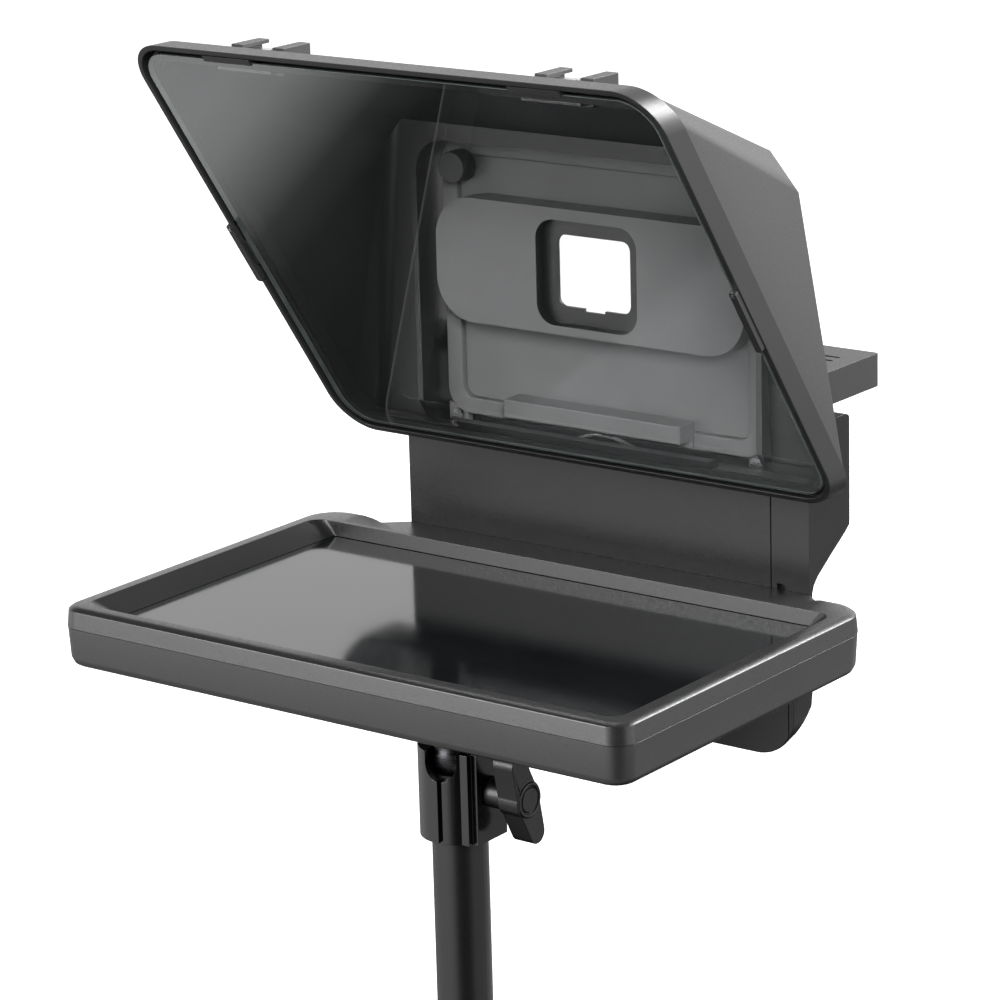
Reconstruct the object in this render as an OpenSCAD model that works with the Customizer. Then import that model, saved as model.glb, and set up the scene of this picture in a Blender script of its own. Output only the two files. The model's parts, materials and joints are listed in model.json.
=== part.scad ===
// Desktop teleprompter on a pole, in millimetres.
// X right, Y to the back, Z up. The origin is the middle of the pole's lower end.

/* [Tray] */
// Width of the display tray
tray_w = 230; // [226:1:232]
// Depth of the display tray, without its rear flange
tray_d = 141.9; // [140.9:0.5:141.9]
// Width of the visible screen
screen_w = 196; // [190:1:197]
// Depth of the visible screen
screen_d = 111; // [105:1:112]

/* [Glass and hood] */
// Angle of the glass above the horizontal
glass_angle = 55; // [54.5:0.5:55.5]
// Width of the glass frame
frame_w = 208; // [206:1:209]
// Height of the glass frame, measured upright
frame_h = 153; // [151:1:154]
// Width of the hood's back wall between its bevels
shoulder_w = 172.6; // [170:0.2:174]

/* [Pillar] */
// Width of the pillar behind the tray
pillar_w = 168.8; // [168:0.2:170]
// Width of the right-hand column strip
column_w = 15; // [13:0.5:17]

/* [Stand] */
// Outer diameter of the pole
pole_d = 19; // [18:0.5:20]
// Free length of pole below the clamp collar
pole_len = 200; // [80:5:300]
// Turn of the collar's notch about the pole
collar_turn = 9; // [0:1:12]

/* [Hidden] */
$fn = 64;
hull_fn = 32;
run = 0.05;                   // radial clearance of a turning fit
stud_r = 3.17;                // quarter-inch thread, major radius

// The head is measured from the tray's front edge and rim, the stand from the pole's axis.
setback = 67;                 // pole axis behind the tray's front edge
rim_z = pole_len + 76.5;      // tray's rim above the pole's lower end

// stand, in heights below the tray's rim
collar_z = -76.5;             // bottom of the collar
collar_h = 31.7;
collar_r = 13.4;
collar_bot = rim_z + collar_z;
lug_x = 13.8;                 // face of the lug behind the knob
tube_r = pole_d / 2 - 1.25;
spigot_r = pole_d / 2 - 0.4;
cup_z = -67;                  // floor of the ball cup's bore
ball_r = 9.4;
ball_z = -49;
notch_r = 5.8;
knob_z = -59.6;
knob_end = 29.7;              // front of the knob from the pole's axis
knob_screw_r = 2.5;

// tray
tray_t = 19.5;                // bezel and lower shell together
bezel_t = 5.9;                // seam below the rim's outer edge
rim_crown = 1.2;              // middle of the rim above its outer edge
tray_r = [7.5, 12];           // front and rear corner radii
flange_x = 97;                // where the rear flange meets the tray's rear edge
wall = 2.2;
flange_drop = 2.3;            // rear flange below the rim
screen_front = 17;            // tray's front edge to the visible screen
screen_drop = 4.2;            // screen glass below the rim
lip_z = -3.2;                 // top of the upright lip round the screen

// pillar
pillar_y = 152;               // front face above the tray
pillar_back = 178.5;
pillar_low_front = 142;
pillar_low_back = 154;
pillar_top = 55;
pillar_bot = -57.8;
sill_z = -6.3;                // step that carries the rear flange
cover_z = 22;                 // lower edge of the rear cover
side_x = pillar_w / 2 - 2;    // inner face of the right side skin
skin = 1.9;                   // thickness of the outer panels
cradle_z = 33.5;              // floor of the gap that holds the hood's back box
cradle_x = 72.6;

// glass frame: its front face rises from this front lower edge
foot_y = 141.4;
foot_z = 33;
frame_t = 8.94;               // thickness, square to the glass
frame_r = 14;
rim_t = 1.9;
ledge_depth = 3.4;            // ledge that carries the glass, behind the rim's front
glass_t = 2;
glass_in = 0.6;               // glass face behind the rim's front
clip_x = 102.2;
clip_l = 102;                 // clip pins, up the glass from its foot

// hood and its back box
back_y = 144;
back_top = 148.5;
ridge_w = 151;                // back wall's top edge
shoulder_z = 135.8;           // where the back wall's bevels start
box_x = 72;
box_back = 160;
box_top = 142.5;
hood_wall = 2.2;
shoe_x = 61;
shoe_floor = 182.1;
shoe_slot_w = 18.7;

// ring and backplate
ring_y = 153.5;
ring_t = 4;
ring_x = 66.7;
ring_in_x = 60.1;
ring_bot = 41;
ring_top = 139.5;
ring_bar = 5.8;
plate_y = 155.5;              // front face of the backplate's flat part
pillow_y = 145.3;
pillow_x = 63.8;
pillow_bot = 76.5;
pillow_top = 120.5;
aperture = [30, 25];
aperture_z = 98;
lug_y = plate_y + 2.05;       // front of the lugs behind the backplate
knob_x = 57;                  // thumb knobs
thumb_z = 130;

// camera shelf
shelf_x = 84.4;
shelf_y = [161, 196.3];
shelf_z = [60, 71.5];
runner_x = 44;
screw_y = 184;

black = [0.10, 0.10, 0.11];
dark = [0.18, 0.18, 0.19];
grey = [0.32, 0.32, 0.33];
steel = [0.62, 0.63, 0.65];
brass = [0.72, 0.6, 0.34];
board = [0.08, 0.3, 0.16];

// ---- helpers ----

module head() translate([0, -setback, rim_z]) children();
module stand() translate([0, 0, rim_z]) rotate([0, 0, collar_turn]) children();
// the knob points straight to the right, whatever the notch's turn
module along_x() rotate([0, 0, -collar_turn]) children();

module box(lo, hi) translate(lo) cube(hi - lo);
module disc(r, z0, z1) translate([0, 0, z0]) cylinder(r = r, h = z1 - z0);
module rod_x(r, x0, x1) translate([x0, 0, 0]) rotate([0, 90, 0]) cylinder(r = r, h = x1 - x0);
module rod_y(r, y0, y1) translate([0, y0, 0]) rotate([-90, 0, 0]) cylinder(r = r, h = y1 - y0);
module both(x) for (s = [-1, 1]) translate([s * x, 0, 0]) children();
module flip_x(s) mirror([s < 0 ? 1 : 0, 0, 0]) children();
module flat(z0, z1) translate([0, 0, z0]) linear_extrude(z1 - z0) children();
// an outline drawn in X and Z, pushed along Y
module upright(y0, y1) translate([0, y1, 0]) rotate([90, 0, 0]) linear_extrude(y1 - y0) children();
// an outline drawn in Y and Z, pushed along X
module sideways(x0, x1)
  translate([x0, 0, 0]) rotate([90, 0, 90]) linear_extrude(x1 - x0) children();

// rectangle from lo to hi with round corners
module round_rect(lo, hi, r) {
  translate([lo.x + r, lo.y]) square([hi.x - lo.x - 2 * r, hi.y - lo.y]);
  translate([lo.x, lo.y + r]) square([hi.x - lo.x, hi.y - lo.y - 2 * r]);
  for (x = [lo.x + r, hi.x - r], y = [lo.y + r, hi.y - r]) translate([x, y]) circle(r);
}

// the slanted layer between two depths behind the glass frame's front face
module slant(d0, d1) on_glass() translate([-150, -60, -d1]) cube([300, 330, d1 - d0]);
// children drawn in the frame's own plane: X, then up the glass, then out of its front
module on_glass() translate([0, foot_y, foot_z]) rotate([180 - glass_angle, 0, 0]) children();
// glass frame outline, shrunk by a margin
module frame_outline(m) round_rect([-frame_w / 2 + m, foot_z + m],
  [frame_w / 2 - m, foot_z + frame_h - m], frame_r - m);
// a slanted layer cut to that outline
module frame_layer(m, d0, d1) intersection() {
  upright(-20, 200) frame_outline(m);
  slant(d0, d1);
}

// ---- stand ----

module pole_tube() color(black) difference() {
  union() {
    cylinder(r = pole_d / 2, h = collar_bot);
    cylinder(r = spigot_r, h = collar_bot + 7.3);
  }
  translate([0, 0, -1]) cylinder(r = tube_r, h = collar_bot + 10);
}

module pole_plug() color(dark) difference() {
  cylinder(r = tube_r, h = 16);
  translate([0, 0, -1]) cylinder(r = stud_r, h = 13);
}

// outline of the collar: a round body with two stepped lugs on the knob's side
module collar_outline() {
  circle(collar_r);
  along_x() {
    translate([0, -8]) square([lug_x, 16]);
    translate([0, -10.2]) square([11.6, 20.4]);
  }
}

module clamp_collar() color(black) stand() difference() {
  translate([0, 0, collar_z]) linear_extrude(collar_h) collar_outline();
  disc(spigot_r + run, collar_z - 1, collar_z + 7.5);        // socket for the tube's spigot
  disc(4, collar_z + 7, cup_z + 1);                          // vent between socket and cup
  disc(ball_r + run, cup_z, ball_z);                         // bore of the cup
  translate([0, 0, ball_z]) sphere(ball_r + run);            // seat of the ball
  disc(8.3, ball_z, collar_z + collar_h + 1);                // mouth
  // keyhole: a notch for the stem, with a clamping slit below it
  translate([0, 0, ball_z]) rod_y(notch_r, -20, 0);
  box([-notch_r, -20, ball_z], [notch_r, 0, -40]);
  box([-0.8, -20, collar_z - 1], [0.8, -8, ball_z]);
  along_x() translate([0, 0, knob_z]) rod_x(knob_screw_r + run, 0, 20);
}

// plastic cup that the knob's screw presses against the ball
module ball_cup() color(dark) stand() difference() {
  disc(ball_r - 0.15, cup_z + 0.1, -54);
  translate([0, 0, ball_z]) sphere(ball_r + run);
  along_x() translate([0, 0, knob_z]) rod_x(3, 4.8, 12);
  disc(2, cup_z - 1, -50);
}

// wing of the knob, drawn square to the knob's axis
module wing_outline() {
  circle(6.4);
  for (s = [-1, 1]) hull() {
    circle(5.8, $fn = hull_fn);
    translate([s * 4.6, -s * 12.9]) circle(3.9, $fn = hull_fn);
  }
}

module on_knob() translate([0, 0, rim_z + knob_z]) rotate([90, 0, 90]) children();

module knob_grip() color(black) on_knob() difference() {
  union() {
    disc(5.2, lug_x + 0.4, 26);
    translate([0, 0, knob_end - 8.9]) linear_extrude(8.3) wing_outline();
    disc(6, knob_end - 0.8, knob_end);
  }
  disc(knob_screw_r + 0.01, 0, 25);
  difference() {
    disc(4.9, knob_end - 0.5, knob_end + 1);
    disc(4.2, knob_end - 1, knob_end + 2);
  }
}

module knob_screw() color(steel) on_knob() disc(knob_screw_r, 5.2, 25);

module tilt_ball() color(dark) stand() difference() {
  translate([0, 0, ball_z]) sphere(ball_r);
  disc(4.6, ball_z + 8.6, ball_z + 12);
}

// neck seated on the ball, spreading into the flange under the lock wheel
module stem() color(dark) stand() difference() {
  union() {
    disc(3.75, ball_z + 5, -36);
    translate([0, 0, -36.2]) cylinder(r1 = 3.75, r2 = 7, h = 3.2);
    disc(7, -33, -30.4);
  }
  translate([0, 0, ball_z]) sphere(ball_r + run);
  disc(stud_r, -34.4, -20);
}

module stem_screw() color(dark) stand() disc(stud_r, -34.4, -11.2);

module lock_wheel() color(black) stand() difference() {
  disc(13.5, -29.9, -22.9);
  disc(stud_r + run, -31, -20);
  for (i = [0:23]) rotate([0, 0, i * 15]) translate([14.1, 0, -31])
    cylinder(r = 1.2, h = 10, $fn = 16);
}

module stem_washer() color(black) stand() difference() {
  disc(14, -22.3, -tray_t);
  disc(stud_r + 0.4, -24, -18);
}

module stand_insert() color(brass) stand() difference() {
  union() {
    disc(6, -tray_t, -10.4);
    disc(8.5, -16.6, -15);
  }
  disc(stud_r + run, -tray_t - 1, -10.9);
}

// ---- display tray ----

function arc(c, r, a, n = 8) = [for (i = [0:n]) c + r * [cos(a + 90 * i / n), sin(a + 90 * i / n)]];

// outline of the tray, shrunk by a margin
module tray_outline(m) {
  x = tray_w / 2 - m;
  f = tray_r[0] - m / 2;
  b = tray_r[1] - m / 2;
  polygon(concat(arc([x - b, tray_d - m - b], b, 0), arc([b - x, tray_d - m - b], b, 90),
    arc([f - x, m + f], f, 180), arc([x - f, m + f], f, 270)));
}
module tray_plate(m, z0, z1) flat(z0, z1) tray_outline(m);

// rectangle round the screen, grown by a margin
module screen_box(m, z0, z1) box([-screen_w / 2 - m, screen_front - m, z0],
  [screen_w / 2 + m, screen_front + screen_d + m, z1]);

module at_bosses() for (x = [-104, 104], y = [20, 122]) translate([x, y, 0]) children();

module tray_shell() color(dark) head() difference() {
  hull() {
    tray_plate(0.1, -bezel_t - 0.15, -bezel_t - 0.05);
    tray_plate(0.6, -tray_t + 3, -tray_t + 3.1);
    tray_plate(1.5, -tray_t + 0.8, -tray_t + 0.9);
    tray_plate(2.8, -tray_t, -tray_t + 0.1);
  }
  difference() {
    tray_plate(4.4, -tray_t + wall, -5);
    at_bosses() disc(4, -20, -8);
    translate([0, setback, 0]) disc(11, -20, -12);
  }
  at_bosses() {
    disc(1.6, -21, -5);
    disc(3, -21, -16.8);
  }
  translate([0, setback, 0]) {
    disc(6.02, -21, -10);
    disc(8.52, -16.6, -11);
  }
  // the pillar's tongue comes in through the rear wall
  box([-60.2, 126, -17.2], [60.2, 144, -8.9]);
}

module tray_bezel() color(dark) head() difference() {
  union() {
    hull() {
      tray_plate(0, -bezel_t, -bezel_t + 0.1);
      tray_plate(0.5, -0.1, 0);
      tray_plate(1.6, rim_crown - 0.4, rim_crown - 0.3);
      tray_plate(3, rim_crown - 0.1, rim_crown);
    }
    flat(-bezel_t, -flange_drop) polygon([[-flange_x, 120], [flange_x, 120], [flange_x, tray_d],
      [pillar_w / 2, pillar_y - 0.05], [-pillar_w / 2, pillar_y - 0.05], [-flange_x, tray_d]]);
  }
  // window, opening upwards to the rim
  hull() {
    screen_box(0, -bezel_t - 0.1, lip_z);
    flat(rim_crown + 0.1, rim_crown + 0.2)
      round_rect([-tray_w / 2 + 6, 6], [tray_w / 2 - 6, screen_front + screen_d], 6, $fn = hull_fn);
  }
  screen_box(3.2, -bezel_t - 1, -screen_drop);
  // the rim falls to the rear flange
  hull() {
    box([-pillar_w / 2, screen_front + screen_d + 1.6, -flange_drop], [pillar_w / 2, 160, 0]);
    box([-flange_x, screen_front + screen_d + 1.6, rim_crown], [flange_x, 160, rim_crown + 1]);
  }
  at_bosses() disc(1.2, -bezel_t - 1, -3);
}

module screen_glass() color([0.04, 0.04, 0.05]) head() screen_box(3, -bezel_t + 0.9, -screen_drop - 0.1);
module display_panel() color([0.2, 0.22, 0.25]) head() screen_box(2, -8.6, -bezel_t + 0.8);

module panel_backplate() color(steel) head() difference() {
  screen_box(-10, -9.8, -8.7);
  for (x = [-60, 60], y = [40, 100]) translate([x, y, 0]) disc(4, -12, -6);
}

module driver_board() color(board) head() {
  box([-64, 84, -12.6], [-14, 112, -11]);
  box([-50, 90, -14.6], [-34, 104, -12.6]);
  box([-28, 88, -13.8], [-20, 108, -12.6]);
}

module display_ribbon() color([0.75, 0.5, 0.15]) head() {
  box([-24, 98, -10.95], [20, 110, -10.65]);
  box([8, 98, -10.65], [20, 110, -9.85]);
}

module tray_screws() color(steel) head() at_bosses() {
  disc(1.15, -16.85, -4);
  disc(2.7, -18.6, -16.8);
}

// ---- pillar ----

// side view of the pillar, with its front at y0 and its upper back at y1
module pillar_side(y0, y1) difference() {
  polygon(concat(
    [[pillar_low_front, pillar_bot], [143, pillar_bot], [143.8, -52], [153.2, -41.6], [pillar_low_back, -36],
     [pillar_low_back, -2.5], [155, 0.2], [157.4, 2.7], [165, 7.8], [174.5, 13.8], [177.6, 16.2], [pillar_back, 19]],
    arc([pillar_back - 4, pillar_top - 4], 4, 0),
    [[y0, pillar_top], [y0, sill_z], [pillar_low_front, sill_z]]));
  translate([y1, cover_z]) square([10, 60]);
}

// the pillar's own pieces between two sides, with round lower corners
module pillar_slab(x0, x1, y0, y1) intersection() {
  sideways(x0, x1) pillar_side(y0, y1);
  upright(100, 240) round_rect([-pillar_w / 2, pillar_bot], [pillar_w / 2, 90], 15);
  pillar_plan();
}
// rear corners, hardly rounded
module pillar_plan() flat(-70, 90) round_rect([-pillar_w / 2, 100], [pillar_w / 2, pillar_back], 1.5);

module cradle() {
  box([-cradle_x, 140, cradle_z], [cradle_x, 160.5, 80]);
  box([-69, 160, cradle_z + 5], [69, 190, 80]);
}

module pillar_core() color(dark) head() difference() {
  union() {
    pillar_slab(-pillar_w / 2, side_x - 0.05, pillar_y + skin, pillar_back - skin);
    box([-60, 127, -17], [60, 142.5, -9.1]);
  }
  cradle();
  box([-66, 158, 18], [66, 190, 31]);
  for (x = [-76, 76]) translate([x, 0, 28]) rod_y(1.2, 166, 190);
}

module pillar_front_panel() color(dark) head()
  box([-pillar_w / 2, pillar_y, sill_z + 0.05], [pillar_w / 2 - column_w - 0.25, pillar_y + skin - 0.05, 32.8]);

module pillar_side_column() color(dark) head() difference() {
  union() {
    pillar_slab(side_x, pillar_w / 2, pillar_y + skin, pillar_back);
    box([pillar_w / 2 - column_w, pillar_y, sill_z + 0.05], [pillar_w / 2, pillar_y + skin - 0.05, 32.8]);
    box([side_x, pillar_y + skin - 0.1, sill_z + 0.05], [pillar_w / 2, pillar_y + skin + 0.1, 32.8]);
  }
  // cable notch at the foot of the strip
  box([pillar_w / 2 - column_w + 2.2, 150, -4], [pillar_w / 2 - column_w + 5.4, pillar_y + skin + 1, -0.4]);
}

module pillar_rear_cover() color(dark) head() difference() {
  intersection() {
    box([-pillar_w / 2, pillar_back - skin + 0.05, cover_z + 0.05], [side_x - 0.1, pillar_back, pillar_top]);
    pillar_slab(-pillar_w / 2, side_x, pillar_y, pillar_back + 1);
  }
  cradle();
  for (x = [-76, 76]) translate([x, 0, 28]) rod_y(1.6, 170, 190);
  box([-5, 170, 23.6], [5, 190, 27.6]);
}

module pillar_screws() color(steel) head() for (x = [-76, 76]) translate([x, 0, 28]) {
  rod_y(1.15, 167, pillar_back + 0.1);
  rod_y(2.8, pillar_back + 0.05, pillar_back + 1.4);
}

module interface_board() color(board) head() {
  box([-45, 160, 19.6], [45, 176, 21.2]);
  box([20, 162, 21.2], [32, 172, 23.4]);
  box([-3, 168, 21.2], [3, 171.8, 23]);
}

module usb_port() color(steel) head() difference() {
  upright(170, 178.6) round_rect([-4.8, 23.8], [4.8, 27.4], 1.7);
  upright(172, 180) round_rect([-4.35, 24.2], [4.35, 27], 1.35);
}

// ---- glass ----

module glass_frame() color(dark) head() difference() {
  frame_layer(0, 0, frame_t);
  frame_layer(rim_t, -1, ledge_depth);
  difference() {
    frame_layer(6.6, ledge_depth - 0.1, frame_t + 1);
    both(shoe_x) box([-11.4, 44.6, 177.9], [11.4, 60, 190]);
  }
  on_glass() both(clip_x) {
    translate([0, clip_l, 0]) disc(0.7, -6, 1);
  }
}

module splitter_glass() color([0.5, 0.6, 0.6, 0.35]) head()
  frame_layer(rim_t + 1.5, glass_in, glass_in + glass_t);

module glass_gasket() color(black) head() difference() {
  frame_layer(rim_t + 1.5, glass_in + glass_t + 0.02, ledge_depth - 0.02);
  frame_layer(5.6, 0, 5);
}

module bottom_retainer() color(black) head() intersection() {
  upright(100, 200) translate([-52, 39.65]) square([106, 2.8]);
  slant(glass_in + glass_t + 0.1, 6.2);
}

// two hooks that hold the glass's top edge, in line with the shoes
module top_hooks() color(black) head() both(shoe_x) {
  intersection() {
    upright(0, 200) translate([-9.8, 182]) square([19.6, 2.05]);
    slant(-0.3, 0.5);
  }
  intersection() {
    upright(0, 200) translate([-9.8, 182.75]) square([19.6, 1.3]);
    slant(0.4, 3.3);
  }
}

// flat clip that turns out sideways about its top pin
module clip() on_glass() translate([clip_x, clip_l, 0]) difference() {
  union() {
    flat(0.05, 1.9) round_rect([-1.3, -25.5], [1.3, 1.6], 1);
    flat(0.05, 0.6) round_rect([-2.7, -18], [0, -7], 0.9);
  }
  disc(0.75, -1, 5);
}

module clip_left() color(black) head() mirror([1, 0, 0]) clip();
module clip_right() color(black) head() clip();
module clip_pins() color(steel) head() on_glass() both(clip_x) translate([0, clip_l, 0]) disc(0.7, -6, 2.2);

// ---- hood ----

// back wall outline, with bevelled upper corners
module back_outline(m) {
  low = 46 + m;
  x = shoulder_w / 2 - m;
  flare = (shoulder_z - low) * 0.163;
  polygon([[-x - flare, low], [x + flare, low], [x, shoulder_z - m * 0.4],
    [ridge_w / 2 - m * 0.4, back_top - m], [-ridge_w / 2 + m * 0.4, back_top - m], [-x, shoulder_z - m * 0.4]]);
}

module hood_solid(m, front, back) hull() {
  frame_layer(1.2 + m, front, front + 0.4, $fn = hull_fn);
  upright(back - 0.3, back) back_outline(m);
}

// outline of the hood's back box, with large upper corners
module box_outline(m) {
  round_rect([-box_x + m, cradle_z + 0.2 + m], [box_x - m, 100], 6);
  round_rect([-box_x + m, 80], [box_x - m, box_top - m], 15 - m);
}

module hood_shell() color(dark) head() difference() {
  union() {
    difference() {
      hood_solid(0, frame_t + 0.05, back_y);
      hood_solid(hood_wall, frame_t - 1, back_y - hood_wall);
    }
    upright(back_y - 1, box_back) box_outline(0);
  }
  difference() {
    upright(back_y - 9, box_back + 1) box_outline(hood_wall);
    both(65) box([-6, 157.6, 30], [8, box_back, 43]);
  }
  slant(-90, frame_t + 0.04);
  both(shoe_x) box([-11.3, 51.2, 160], [11.3, 65.5, 200]);
  both(63) translate([0, 0, 39.6]) rod_y(1.2, 155, 170);
}

// accessory shoe: a floor let into the hood's roof, with two lipped rails
module cold_shoe(x) head() translate([x, 0, 0]) {
  box([-11, 51.5, shoe_floor - 5.6], [11, 65.2, shoe_floor]);
  for (s = [-1, 1]) flip_x(s) {
    box([shoe_slot_w / 2, 51.5, shoe_floor - 0.1], [11, 65.2, shoe_floor + 3.4]);
    box([6.3, 51.5, shoe_floor + 2.1], [11, 65.2, shoe_floor + 3.4]);
  }
}
module shoe_holes(x) head() translate([x, 0, 0]) for (y = [55, 61.6]) translate([0, y, 0]) disc(1.3, 170, 190);
module cold_shoe_left() color(grey) difference() { cold_shoe(-shoe_x); shoe_holes(-shoe_x); }
module cold_shoe_right() color(grey) difference() { cold_shoe(shoe_x); shoe_holes(shoe_x); }

// sprung steel sheet on each shoe's floor
module shoe_plates() color(steel) head() both(shoe_x) difference() {
  box([-9, 52, shoe_floor], [9, 64.6, shoe_floor + 0.5]);
  for (y = [55, 61.6]) translate([0, y, 0]) disc(1.3, 170, 190);
}

module shoe_screws() color(steel) head() both(shoe_x) for (y = [55, 61.6]) translate([0, y, 0]) {
  disc(1.25, shoe_floor - 5, shoe_floor + 0.55);
  disc(2.2, shoe_floor + 0.5, shoe_floor + 1);
}

// ---- lens mount ----

module ring_outline(m, r)
  round_rect([-ring_x + m, ring_bot + m], [ring_x - m, ring_top - m], r);

module mount_ring() color(dark) head() difference() {
  union() {
    upright(ring_y, ring_y + ring_t) difference() {
      ring_outline(0, 9);
      round_rect([-ring_in_x, ring_bot + ring_bar], [ring_in_x, ring_top - ring_bar], 4.5);
    }
    for (s = [-1, 1]) flip_x(s) {
      // lug behind the backplate, for a thumb knob
      box([knob_x - 4.4, lug_y, thumb_z - 4.4], [64, 160.5, thumb_z + 6]);
      box([ring_in_x + 0.2, ring_y + 1, thumb_z - 4.4], [64, lug_y + 0.1, thumb_z + 6]);
      // foot screwed to the hood's back box
      box([59, ring_y + 1, 37.4], [67.4, ring_y + ring_t, 44]);
    }
  }
  box([-37.5, ring_y - 1, 40], [37.5, plate_y, 48]);
  both(knob_x) translate([0, 0, thumb_z]) rod_y(2.7, 150, 170);
  both(63) translate([0, 0, 39.6]) rod_y(1.3, 150, 170);
}

module ring_screws() color(steel) head() both(63) translate([0, 0, 39.6]) {
  rod_y(1.15, ring_y + 0.9, 159.5);
  rod_y(2.4, ring_y - 0.4, ring_y + 0.95);
}

module aperture_hole(m) round_rect([-aperture.x / 2 - m, aperture_z - aperture.y / 2 - m],
  [aperture.x / 2 + m, aperture_z + aperture.y / 2 + m], 3.2 + m * 0.7);

module backplate() color(dark) head() difference() {
  union() {
    upright(plate_y, plate_y + 2) round_rect([-59.8, 47.1], [59.8, 133.4], 4.2);
    upright(pillow_y, ring_y - 0.2) round_rect([-pillow_x, pillow_bot], [pillow_x, pillow_top], 15);
    upright(ring_y - 0.3, plate_y + 0.1) round_rect([-59.4, pillow_bot], [59.4, pillow_top], 12);
  }
  upright(pillow_y - 1, pillow_y + 4.8) aperture_hole(5.9);
  upright(140, 170) aperture_hole(0);
  box([-4.3, 140, aperture_z - aperture.y / 2 - 1.05], [4.3, 170, aperture_z]);
  // hollow back, with a wall round the aperture
  difference() {
    upright(pillow_y + 3, 170) round_rect([-56, pillow_bot + 3], [56, pillow_top - 3], 10);
    upright(140, 171) aperture_hole(9.4);
  }
  upright(pillow_y + 6, 171) aperture_hole(7.6);
  both(knob_x) translate([0, 0, thumb_z]) rod_y(1.8, 150, 170);
}

module lens_gasket() color(black) head() difference() {
  upright(plate_y + 2.05, plate_y + 5) aperture_hole(9.3);
  upright(140, 170) aperture_hole(7.7);
}

module latch_tab() color(dark) head() {
  box([-37, 146, 44], [37, ring_y - 0.2, 50.5]);
  box([-37, ring_y - 0.3, 41], [37, plate_y - 0.2, 50.5]);
}

// leaf spring bowed up under the latch
leaf_steps = 8;
module latch_spring() color(steel) head() upright(ring_y + 0.1, plate_y - 0.3) polygon(concat(
  [for (i = [0:leaf_steps]) let (t = i / leaf_steps) [-16 + 32 * t, 36.1 + 4 * sin(180 * t) + 0.7]],
  [for (i = [leaf_steps:-1:0]) let (t = i / leaf_steps) [-16 + 32 * t, 36.1 + 4 * sin(180 * t)]]));

module thumb_knob(x) head() translate([x, 0, thumb_z]) {
  rod_y(5.6, 146, ring_y - 0.2);
  rod_y(2.7, ring_y - 0.25, plate_y - 0.05);
  rod_y(1.5, plate_y - 0.1, 160.3);
}
module thumb_knob_left() color(grey) thumb_knob(-knob_x);
module thumb_knob_right() color(grey) thumb_knob(knob_x);

module knob_inserts() color(brass) head() both(knob_x) translate([0, 0, thumb_z]) difference() {
  rod_y(2.69, lug_y + 0.05, 160.4);
  rod_y(1.55, 150, 170);
}

// ---- camera shelf ----

module camera_shelf() color(dark) head() difference() {
  flat(shelf_z.x, shelf_z.y) round_rect([-shelf_x, shelf_y.x], [shelf_x, shelf_y.y], 1);
  // grooves for the runners, and grip slots
  both(runner_x) upright(shelf_y.x - 1, shelf_y.y - 1.5) translate([0, shelf_z.x - 0.1]) tee_slot();
  for (s = [-1, 1], i = [0:2]) flip_x(s) flat(shelf_z.y - 3, shelf_z.y + 1)
    round_rect([52, 173 + 4.9 * i], [77, 174.4 + 4.9 * i], 0.69);
  translate([0, screw_y, 0]) disc(stud_r + 0.4, 50, 80);
}
module tee_slot() {
  translate([-2.3, -1]) square([4.6, 4]);
  translate([-4.3, 2.8]) square([8.6, 3.6]);
}

// tee-headed runners on brackets that stand on the cradle's floor
module shelf_runners() color(dark) head() both(runner_x) {
  box([-6, 161.5, cradle_z + 5.02], [6, 176.5, cradle_z + 7.5]);
  box([-2, 161.5, cradle_z + 7.4], [2, 176.5, shelf_z.x + 3.1]);
  box([-2, 176.4, shelf_z.x - 5], [2, 193, shelf_z.x + 3.1]);
  box([-4, 161.5, shelf_z.x + 3], [4, 193, shelf_z.x + 6]);
}

module camera_screw() color(steel) head() translate([0, screw_y, 0]) {
  disc(stud_r, shelf_z.y, shelf_z.y + 5.5);
  disc(2.6, shelf_z.x - 6, shelf_z.y + 0.1);
  disc(8, shelf_z.x - 9, shelf_z.x - 2.2);
}

module camera_screw_washer() color(black) head() translate([0, screw_y, 0]) difference() {
  disc(7, shelf_z.x - 2, shelf_z.x);
  disc(stud_r + 0.4, 50, 80);
}

pole_tube();
pole_plug();
clamp_collar();
ball_cup();
knob_grip();
knob_screw();
tilt_ball();
stem();
stem_screw();
lock_wheel();
stem_washer();
stand_insert();
tray_shell();
tray_bezel();
screen_glass();
display_panel();
panel_backplate();
driver_board();
display_ribbon();
tray_screws();
pillar_core();
pillar_front_panel();
pillar_side_column();
pillar_rear_cover();
interface_board();
usb_port();
pillar_screws();
glass_frame();
splitter_glass();
glass_gasket();
bottom_retainer();
top_hooks();
clip_left();
clip_right();
clip_pins();
hood_shell();
cold_shoe_left();
cold_shoe_right();
shoe_plates();
shoe_screws();
mount_ring();
ring_screws();
backplate();
lens_gasket();
latch_tab();
latch_spring();
thumb_knob_left();
thumb_knob_right();
knob_inserts();
camera_shelf();
shelf_runners();
camera_screw();
camera_screw_washer();
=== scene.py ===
"""Looks of the teleprompter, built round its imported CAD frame. Metres, Z up, Y to the back."""
import json
import math

import bmesh
import bpy
from mathutils import Matrix, Vector
from mathutils.bvhtree import BVHTree


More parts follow.
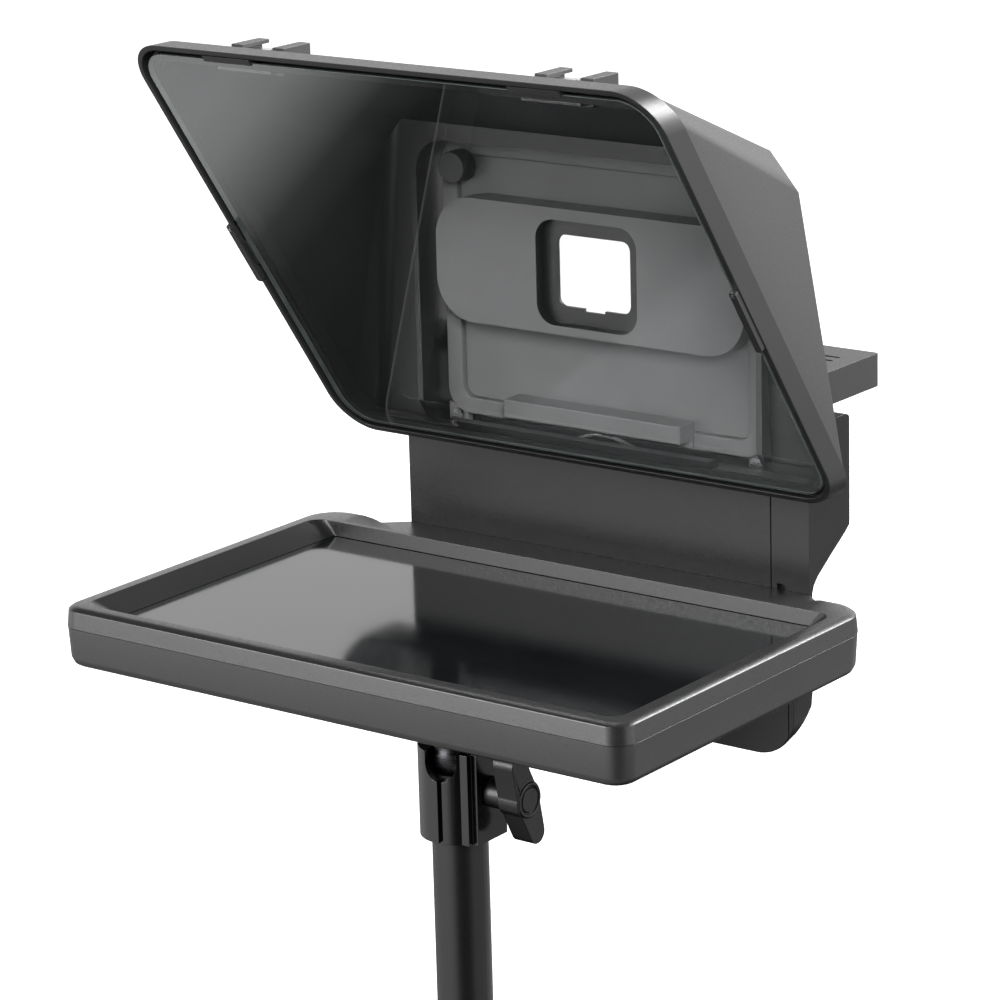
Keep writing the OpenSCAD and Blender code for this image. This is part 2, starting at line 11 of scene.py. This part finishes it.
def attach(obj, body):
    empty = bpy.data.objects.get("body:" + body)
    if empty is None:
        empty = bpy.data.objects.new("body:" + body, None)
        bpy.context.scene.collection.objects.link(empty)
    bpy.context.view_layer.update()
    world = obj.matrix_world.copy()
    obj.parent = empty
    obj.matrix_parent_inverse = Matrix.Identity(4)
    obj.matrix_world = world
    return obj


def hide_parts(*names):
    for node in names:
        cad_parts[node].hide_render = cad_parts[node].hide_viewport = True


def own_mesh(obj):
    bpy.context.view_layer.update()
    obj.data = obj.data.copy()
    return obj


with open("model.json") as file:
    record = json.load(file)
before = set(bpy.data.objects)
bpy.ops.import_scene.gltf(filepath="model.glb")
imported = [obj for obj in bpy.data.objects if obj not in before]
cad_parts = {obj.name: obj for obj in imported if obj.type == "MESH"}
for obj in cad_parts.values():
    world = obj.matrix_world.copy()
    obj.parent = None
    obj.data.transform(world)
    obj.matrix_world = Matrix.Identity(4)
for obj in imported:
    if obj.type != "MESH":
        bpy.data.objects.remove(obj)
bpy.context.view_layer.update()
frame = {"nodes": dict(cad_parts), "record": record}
scene = bpy.context.scene
MM = 0.001

# ---- camera ----

CAMERA_AZIMUTH, CAMERA_ELEVATION, CAMERA_ROLL = (math.radians(a) for a in (37.15, 15.57, -1.55))
CAMERA_DISTANCE = 1.2812
CAMERA_TARGET = Vector((0, 0.013, 0.3165))
TARGET_RIGHT = 0.01094        # how far the target lies left of the camera's axis
CAMERA_LENS = 140.19          # on a 36 mm sensor


def make_camera():
    """A long lens in front of the reader's right shoulder, a little above the screen."""
    back = Vector((math.sin(CAMERA_AZIMUTH) * math.cos(CAMERA_ELEVATION),
                   -math.cos(CAMERA_AZIMUTH) * math.cos(CAMERA_ELEVATION), math.sin(CAMERA_ELEVATION)))
    level = Vector((math.cos(CAMERA_AZIMUTH), math.sin(CAMERA_AZIMUTH), 0))
    rise = back.cross(level)
    cos_r, sin_r = math.cos(CAMERA_ROLL), math.sin(CAMERA_ROLL)
    right = cos_r * level + sin_r * rise
    up = cos_r * rise - sin_r * level
    place = CAMERA_TARGET + TARGET_RIGHT * right + CAMERA_DISTANCE * back
    camera = bpy.data.objects.new("camera", bpy.data.cameras.new("camera"))
    scene.collection.objects.link(camera)
    camera.data.sensor_width = 36
    camera.data.lens = CAMERA_LENS
    camera.data.shift_x = -0.00704
    camera.data.shift_y = -0.01311
    camera.data.clip_end = 50
    camera.matrix_world = Matrix((right, up, back)).transposed().to_4x4()
    camera.matrix_world.translation = place
    scene.camera = camera


make_camera()

# ---- node helpers ----


class Shader:
    """A material under construction: short calls that add and join its nodes."""

    def __init__(self, name):
        self.material = bpy.data.materials.new(name)
        self.material.use_nodes = True
        self.nodes = self.material.node_tree.nodes
        self.links = self.material.node_tree.links
        self.surface = self.nodes["Principled BSDF"]
        self.position = self.nodes.new("ShaderNodeTexCoord").outputs["Object"]

    def set(self, **values):
        for name, value in values.items():
            self.surface.inputs[name.replace("_", " ")].default_value = value

    def join(self, output, name):
        self.links.new(output, self.surface.inputs[name])

    def stretched(self, factors):
        node = self.nodes.new("ShaderNodeMapping")
        node.inputs["Scale"].default_value = factors
        self.links.new(self.position, node.inputs["Vector"])
        return node.outputs["Vector"]

    def noise(self, scale, detail=2, roughness=0.5, position=None):
        node = self.nodes.new("ShaderNodeTexNoise")
        node.inputs["Scale"].default_value = scale
        node.inputs["Detail"].default_value = detail
        node.inputs["Roughness"].default_value = roughness
        self.links.new(position or self.position, node.inputs["Vector"])
        return node.outputs["Fac"]

    def ramp(self, factor, low, high, from_low=0.3, from_high=0.7):
        node = self.nodes.new("ShaderNodeMapRange")
        node.inputs["From Min"].default_value = from_low
        node.inputs["From Max"].default_value = from_high
        node.inputs["To Min"].default_value = low
        node.inputs["To Max"].default_value = high
        self.links.new(factor, node.inputs["Value"])
        return node.outputs["Result"]

    def blend(self, factor, low, high):
        node = self.nodes.new("ShaderNodeMix")
        node.data_type = "RGBA"
        node.inputs["A"].default_value = (*low, 1)
        node.inputs["B"].default_value = (*high, 1)
        self.links.new(factor, node.inputs["Factor"])
        return node.outputs["Result"]

    def bump(self, *layers):
        """layers are (height output, depth in metres), one on top of another."""
        normal = None
        for height, depth in layers:
            node = self.nodes.new("ShaderNodeBump")
            node.inputs["Strength"].default_value = 1
            node.inputs["Distance"].default_value = depth
            self.links.new(height, node.inputs["Height"])
            if normal:
                self.links.new(normal, node.inputs["Normal"])
            normal = node.outputs["Normal"]
        self.join(normal, "Normal")


def grey(level, tint=0.0):
    return (level, level * (1 + tint * 0.5), level * (1 + tint))


# ---- materials ----


def moulded_plastic(name, level, rough, grain=1500, depth=0.03, spread=0.12, specular=0.5):
    """Black injection-moulded plastic with a spark-eroded grain and faint mottling."""
    s = Shader(name)
    fine = s.noise(grain, detail=3, roughness=0.6)
    cloud = s.noise(22, detail=4)
    s.join(s.blend(s.ramp(cloud, 0, 1), grey(level * (1 - spread), 0.02), grey(level * (1 + spread), 0.02)),
           "Base Color")
    s.join(s.ramp(fine, rough - 0.07, rough + 0.09), "Roughness")
    s.set(Specular_IOR_Level=specular)
    s.bump((fine, depth * MM))
    return s.material


def satin_paint(name, level, rough, coat):
    """Baked paint: a smooth dark film with a trace of orange peel."""
    s = Shader(name)
    s.join(s.blend(s.ramp(s.noise(40), 0, 1), grey(level * 0.85), grey(level * 1.15)), "Base Color")
    s.join(s.ramp(s.noise(900, detail=3), rough - 0.04, rough + 0.06), "Roughness")
    s.set(Coat_Weight=coat, Coat_Roughness=0.12)
    s.bump((s.noise(180, detail=1), 0.02 * MM), (s.noise(1400, detail=2), 0.006 * MM))
    return s.material


def turned_metal(name, color, rough, lines=(60, 60, 2600)):
    """Metal with the fine rings or lines that its tool left."""
    s = Shader(name)
    streaks = s.noise(1, detail=2, position=s.stretched(lines))
    s.join(s.blend(s.ramp(streaks, 0, 1), [0.8 * c for c in color], [min(1, 1.15 * c) for c in color]),
           "Base Color")
    s.join(s.ramp(streaks, rough - 0.08, rough + 0.1), "Roughness")
    s.set(Metallic=1.0)
    s.bump((streaks, 0.004 * MM))
    return s.material


def soft_rubber(name):
    s = Shader(name)
    s.join(s.blend(s.ramp(s.noise(300), 0, 1), grey(0.012), grey(0.022)), "Base Color")
    s.join(s.ramp(s.noise(2500), 0.75, 0.92), "Roughness")
    s.bump((s.noise(2500, detail=3), 0.02 * MM))
    return s.material


def circuit_board(name):
    """Green lacquer over copper tracks."""
    s = Shader(name)
    tracks = s.nodes.new("ShaderNodeTexBrick")
    tracks.inputs["Scale"].default_value = 260
    tracks.inputs["Mortar Size"].default_value = 0.12
    tracks.inputs["Color1"].default_value = (0.01, 0.11, 0.045, 1)
    tracks.inputs["Color2"].default_value = (0.012, 0.13, 0.055, 1)
    tracks.inputs["Mortar"].default_value = (0.03, 0.2, 0.09, 1)
    s.links.new(s.position, tracks.inputs["Vector"])
    s.join(tracks.outputs["Color"], "Base Color")
    s.join(s.ramp(s.noise(500), 0.3, 0.45), "Roughness")
    s.bump((tracks.outputs["Fac"], 0.02 * MM))
    return s.material


def flat_cable(name):
    """Amber film with copper lines along it."""
    s = Shader(name)
    lines = s.noise(1, detail=1, position=s.stretched((20, 1500, 20)))
    s.join(s.blend(s.ramp(lines, 0, 1), (0.5, 0.24, 0.04), (0.7, 0.4, 0.1)), "Base Color")
    s.join(s.ramp(s.noise(200), 0.22, 0.35), "Roughness")
    s.bump((lines, 0.01 * MM))
    return s.material


def screen_face(name):
    """The dark cover glass of the display, with a very light anti-glare etch."""
    s = Shader(name)
    s.join(s.blend(s.ramp(s.noise(12, detail=3), 0, 1), grey(0.0035, 0.3), grey(0.006, 0.3)), "Base Color")
    s.join(s.ramp(s.noise(60, detail=4), 0.08, 0.11), "Roughness")
    s.set(Specular_IOR_Level=0.5)
    s.bump((s.noise(5000, detail=2), 0.0006 * MM))
    return s.material


def panel_back(name):
    s = Shader(name)
    s.join(s.blend(s.ramp(s.noise(30), 0, 1), (0.08, 0.085, 0.095), (0.12, 0.13, 0.14)), "Base Color")
    s.join(s.ramp(s.noise(400), 0.25, 0.4), "Roughness")
    s.bump((s.noise(700), 0.005 * MM))
    return s.material


def splitter_coat(name):
    """The half-silvered front face: part mirror, part see-through."""
    s = Shader(name)
    tint = s.ramp(s.noise(8, detail=3), 0, 1)
    s.join(s.blend(tint, (0.80, 0.82, 0.83), (0.86, 0.87, 0.87)), "Base Color")
    s.join(s.ramp(s.noise(35, detail=5), 0.004, 0.02), "Roughness")
    s.set(Metallic=1.0, Alpha=0.3)
    return s.material


def splitter_clear(name):
    """The back face, with its anti-reflection film."""
    s = Shader(name)
    s.join(s.blend(s.ramp(s.noise(8), 0, 1), (0.10, 0.13, 0.13), (0.13, 0.15, 0.15)), "Base Color")
    s.join(s.ramp(s.noise(35, detail=5), 0.01, 0.03), "Roughness")
    s.set(Alpha=0.05)
    return s.material


def ground_edge(name):
    """The glass's ground edge, which gathers light."""
    s = Shader(name)
    s.join(s.blend(s.ramp(s.noise(90), 0, 1), (0.07, 0.085, 0.08), (0.12, 0.14, 0.135)), "Base Color")
    s.join(s.ramp(s.noise(1200), 0.3, 0.5), "Roughness")
    s.bump((s.noise(1500), 0.01 * MM))
    return s.material


MATERIALS = {
    "tube_paint": satin_paint("tube_paint", 0.004, 0.33, 0.1),
    "plug_metal": turned_metal("plug_metal", (0.3, 0.3, 0.31), 0.4),
    "collar_paint": satin_paint("collar_paint", 0.002, 0.16, 0.2),
    "knob_plastic": moulded_plastic("knob_plastic", 0.007, 0.33, grain=1800),
    "brass": turned_metal("brass", (0.72, 0.5, 0.2), 0.3),
    "steel": turned_metal("steel", (0.5, 0.5, 0.51), 0.28),
    "blacked_steel": turned_metal("blacked_steel", (0.035, 0.035, 0.038), 0.32),
    "rubber": soft_rubber("rubber"),
    "tray_plastic": moulded_plastic("tray_plastic", 0.012, 0.33, depth=0.014, specular=0.85),
    "screen_glass": screen_face("screen_glass"),
    "panel": panel_back("panel"),
    "board": circuit_board("board"),
    "ribbon": flat_cable("ribbon"),
    "pillar_plastic": moulded_plastic("pillar_plastic", 0.007, 0.36, specular=0.35),
    "frame_plastic": moulded_plastic("frame_plastic", 0.016, 0.38, grain=1800, depth=0.02, specular=0.6),
    "splitter_glass": splitter_coat("splitter_glass"),
    "hood_plastic": moulded_plastic("hood_plastic", 0.011, 0.4, specular=0.7),
    # painted light: the mount plastic is made far paler than the other black plastics, so that the inside
    # of the hood looks lit
    "mount_plastic": moulded_plastic("mount_plastic", 0.22, 0.42, specular=0.35),
    "shoe_metal": satin_paint("shoe_metal", 0.04, 0.4, 0.0),
    "thumb_plastic": moulded_plastic("thumb_plastic", 0.036, 0.45),
    "shelf_plastic": moulded_plastic("shelf_plastic", 0.02, 0.4, specular=0.7),
}
SLOT_OF = {part["node"]: part["material_slot"] for part in frame["record"]["subparts"]}
for node, cad_object in frame["nodes"].items():
    for material_slot in cad_object.material_slots:
        material_slot.material = MATERIALS[SLOT_OF[node]]

# ---- mesh helpers ----


def make_object(name, bm):
    mesh = bpy.data.meshes.new(name)
    bm.to_mesh(mesh)
    bm.free()
    obj = bpy.data.objects.new(name, mesh)
    scene.collection.objects.link(obj)
    return obj


def apply_modifiers(obj):
    """Keeps the modified mesh and drops the modifiers."""
    bpy.context.view_layer.update()
    evaluated = obj.evaluated_get(bpy.context.evaluated_depsgraph_get())
    mesh = bpy.data.meshes.new_from_object(evaluated)
    obj.modifiers.clear()
    obj.data = mesh


def shade(obj, angle=32):
    """Smooth faces, with edges sharper than the angle kept, and large faces kept flat."""
    bm = bmesh.new()
    bm.from_mesh(obj.data)
    limit = math.radians(angle)
    for face in bm.faces:
        face.smooth = True
    for edge in bm.edges:
        edge.smooth = len(edge.link_faces) == 2 and edge.calc_face_angle(0) < limit
    bm.to_mesh(obj.data)
    bm.free()
    weighted = obj.modifiers.new("weighted", "WEIGHTED_NORMAL")
    weighted.keep_sharp = True
    weighted.use_face_influence = True
    apply_modifiers(obj)


def bevel(obj, width, segments=3, angle=28):
    modifier = obj.modifiers.new("bevel", "BEVEL")
    modifier.width = width * MM
    modifier.segments = segments
    modifier.limit_method = "ANGLE"
    modifier.angle_limit = math.radians(angle)
    modifier.use_clamp_overlap = False
    modifier.face_strength_mode = "FSTR_ALL"
    apply_modifiers(obj)


def stand_for(obj, node, *others):
    """obj is shown in place of these CAD nodes, on their body and with their finish."""
    if not obj.data.materials:
        obj.data.materials.append(MATERIALS[SLOT_OF[node]])
    body = next(b for b, members in frame["record"]["behaviour"]["bodies"].items() if node in members)
    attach(obj, body)
    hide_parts(node, *others)
    return obj


def merge_flats(bm, limit=math.radians(0.4)):
    """Makes one face of every flat area that has no hole in it."""
    seen = set()
    flats = []
    for start in bm.faces:
        if start in seen:
            continue
        seen.add(start)
        flat = [start]
        for face in flat:
            for edge in face.edges:
                if len(edge.link_faces) == 2 and edge.calc_face_angle(9) < limit:
                    for other in edge.link_faces:
                        if other not in seen:
                            seen.add(other)
                            flat.append(other)
        corners = {vert for face in flat for vert in face.verts}
        sides = {edge for face in flat for edge in face.edges}
        if len(flat) > 1 and len(corners) - len(sides) + len(flat) == 1:
            flats.append(flat)
    for flat in flats:
        bmesh.ops.dissolve_faces(bm, faces=flat)


def clean_copy(node):
    """A copy of the CAD node with its triangles merged back into whole faces."""
    bm = bmesh.new()
    bm.from_mesh(frame["nodes"][node].data)
    bmesh.ops.remove_doubles(bm, verts=bm.verts, dist=0.002 * MM)
    merge_flats(bm)
    return make_object(node + "_form", bm)


def strays(obj, node, reach):
    """Whether any corner of obj lies further than reach, in millimetres, from the CAD surface or box."""
    cad = frame["nodes"][node].data
    tree = BVHTree.FromPolygons([v.co for v in cad.vertices], [p.vertices for p in cad.polygons])
    low = [min(v.co[i] for v in cad.vertices) - 0.01 * MM for i in range(3)]
    high = [max(v.co[i] for v in cad.vertices) + 0.01 * MM for i in range(3)]
    return any(tree.find_nearest(v.co)[3] > reach * MM
               or any(not low[i] <= v.co[i] <= high[i] for i in range(3)) for v in obj.data.vertices)


def soften(node, width, segments=3, angle=28):
    """The CAD node with its edges broken by a small radius, in millimetres, or less where that fits."""
    for share in (1, 0.6, 0.35, 0.15):
        obj = clean_copy(node)
        bevel(obj, width * share, segments, angle)
        if not strays(obj, node, width * share):
            break
        bpy.data.objects.remove(obj)
    else:
        obj = clean_copy(node)
    shade(obj)
    return stand_for(obj, node)


# ---- mouldings, with their edges broken by these radii in millimetres ----

EDGE_RADIUS = {
    "pillar_core": 0.5, "pillar_front_panel": 0.25, "pillar_side_column": 0.25, "pillar_rear_cover": 0.3,
    "glass_frame": 0.35, "hood_shell": 0.5, "cold_shoe_left": 0.2, "cold_shoe_right": 0.2,
    "mount_ring": 0.5, "latch_tab": 0.5, "backplate": 0.5,
    "thumb_knob_left": 0.5, "thumb_knob_right": 0.5, "camera_shelf": 0.6, "clamp_collar": 0.15,
    "knob_grip": 0.6, "lock_wheel": 0.3, "clip_left": 0.2, "clip_right": 0.2, "bottom_retainer": 0.15,
    "top_hooks": 0.15, "latch_spring": 0.12, "tray_shell": 0.3, "tray_bezel": 0.2,
}
softened = {node: soften(node, radius) for node, radius in EDGE_RADIUS.items()}

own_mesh(softened["latch_spring"])


APERTURE_MIDDLE = Vector((0, 0, 0.3745))


def darken_recess(plate, wide=0.0215, tall=0.019, deep=0.0003):
    """The sunk surround of the aperture gets the black frame plastic, against the plate's swell, which the
    paler mount plastic paints as lit.
    """
    plate.data.materials.append(MATERIALS["frame_plastic"])
    front = min(vert.co.y for vert in plate.data.vertices)
    for face in plate.data.polygons:
        place = face.center - APERTURE_MIDDLE
        if abs(place.x) < wide and abs(place.z) < tall and place.y > front + deep:
            face.material_index = 1


darken_recess(softened["backplate"])

# ---- splitter glass ----

GLASS_FINISH = {"coat": MATERIALS["splitter_glass"], "clear": splitter_clear("splitter_clear"),
                "edge": ground_edge("glass_edge")}


def make_glass():
    """The pane: coated in front, filmed behind, ground round its edges."""
    pane = clean_copy("splitter_glass")
    bevel(pane, 0.12, segments=1)
    for material in GLASS_FINISH.values():
        pane.data.materials.append(material)
    broad = max(pane.data.polygons, key=lambda face: face.area).normal
    front = broad if broad.y < 0 else -broad
    for face in pane.data.polygons:
        facing = face.normal.dot(front)
        face.material_index = 0 if facing > 0.999 else 1 if facing < -0.999 else 2
    stand_for(pane, "splitter_glass")


make_glass()

# ---- studio ----


def emitter(name, place, aim, size, power, glossy=True, diffuse=True):
    """A softbox: a large area light at a place, turned to a point."""
    light = bpy.data.lights.new(name, "AREA")
    light.shape = "RECTANGLE"
    light.size, light.size_y = size
    light.energy = power
    obj = bpy.data.objects.new(name, light)
    scene.collection.objects.link(obj)
    obj.location = place
    obj.rotation_euler = (Vector(place) - Vector(aim)).to_track_quat("Z", "Y").to_euler()
    obj.visible_camera = False
    obj.visible_glossy = glossy
    obj.visible_diffuse = diffuse


def make_floor():
    """Pale sweep: lit so that it stays white behind the object, and out of the object's reflections."""
    bm = bmesh.new()
    bmesh.ops.create_grid(bm, x_segments=8, y_segments=8, size=12)
    floor = make_object("floor", bm)
    floor.location.z = -0.0005
    s = Shader("floor")
    s.join(s.blend(s.ramp(s.noise(3), 0, 1), (0.84, 0.84, 0.84), (0.86, 0.86, 0.86)), "Base Color")
    s.set(Roughness=0.9, Specular_IOR_Level=0.1, Emission_Color=(1, 1, 1, 1), Emission_Strength=0.8)
    floor.data.materials.append(s.material)
    floor.visible_glossy = False
    floor.visible_diffuse = False


WORLD_STRENGTH = 1.5
READER_SIDE = (0.695, -0.719, 0)           # unlit side of the studio
SKY_AXIS = (0, -0.28, 1)                    # the studio's layers of light lean forward
# place along that axis, and how much light comes from there
SKY = [(-1.0, 0.01), (-0.755, 0.01), (-0.727, 0.48), (-0.5, 0.2), (-0.3, 0.55), (-0.05, 0.95), (0.16, 0.9),
       (0.4, 0.3), (0.6, 0.1), (1.0, 0.05)]


def make_world():
    """A white room, dark on one side and under the object, with a plain white background."""
    world = bpy.data.worlds.new("studio")
    scene.world = world
    world.use_nodes = True
    nodes, links = world.node_tree.nodes, world.node_tree.links
    direction = nodes.new("ShaderNodeTexCoord").outputs["Generated"]
    lean = nodes.new("ShaderNodeVectorMath")
    lean.operation = "DOT_PRODUCT"
    lean.inputs[1].default_value = SKY_AXIS
    links.new(direction, lean.inputs[0])
    height = nodes.new("ShaderNodeMapRange")
    height.inputs["From Min"].default_value = -1
    links.new(lean.outputs["Value"], height.inputs["Value"])
    sky = nodes.new("ShaderNodeValToRGB")
    sky.color_ramp.interpolation = "EASE"
    stops = sky.color_ramp.elements
    while len(stops) < len(SKY):
        stops.new(0.5)
    for stop, (z, level) in zip(stops, SKY):
        stop.position = (z + 1) / 2
        stop.color = (level, level, level, 1)
    links.new(height.outputs["Result"], sky.inputs["Fac"])
    facing = nodes.new("ShaderNodeVectorMath")
    facing.operation = "DOT_PRODUCT"
    facing.inputs[1].default_value = READER_SIDE
    links.new(direction, facing.inputs[0])
    shade_off = nodes.new("ShaderNodeMapRange")
    shade_off.interpolation_type = "SMOOTHSTEP"
    for name, value in (("From Min", 0.66), ("From Max", 0.9), ("To Min", 1), ("To Max", 0.04)):
        shade_off.inputs[name].default_value = value
    links.new(facing.outputs["Value"], shade_off.inputs["Value"])
    level = nodes.new("ShaderNodeMath")
    level.operation = "MULTIPLY"
    links.new(sky.outputs["Color"], level.inputs[0])
    links.new(shade_off.outputs["Result"], level.inputs[1])
    lit = nodes["Background"]
    lit.inputs["Strength"].default_value = WORLD_STRENGTH
    links.new(level.outputs["Value"], lit.inputs["Color"])
    seen = nodes.new("ShaderNodeBackground")
    seen.inputs["Strength"].default_value = 1.5
    choose = nodes.new("ShaderNodeMixShader")
    links.new(nodes.new("ShaderNodeLightPath").outputs["Is Camera Ray"], choose.inputs["Fac"])
    links.new(lit.outputs["Background"], choose.inputs[1])
    links.new(seen.outputs["Background"], choose.inputs[2])
    links.new(choose.outputs["Shader"], nodes["World Output"].inputs["Surface"])


scene.view_settings.view_transform = "Standard"
make_floor()
make_world()
CENTRE = (0, 0.03, 0.33)
emitter("key", (-0.9, -1.9, 0.88), CENTRE, (1.2, 1.5), 60, diffuse=False)
emitter("inside", (1.2, -1.5, 1.3), CENTRE, (0.7, 0.7), 75, glossy=False)
emitter("back", (1.0, 1.75, 1.5), CENTRE, (1.1, 0.9), 65)
emitter("right", (1.9, 1.2, 0.7), CENTRE, (0.9, 1.4), 10)
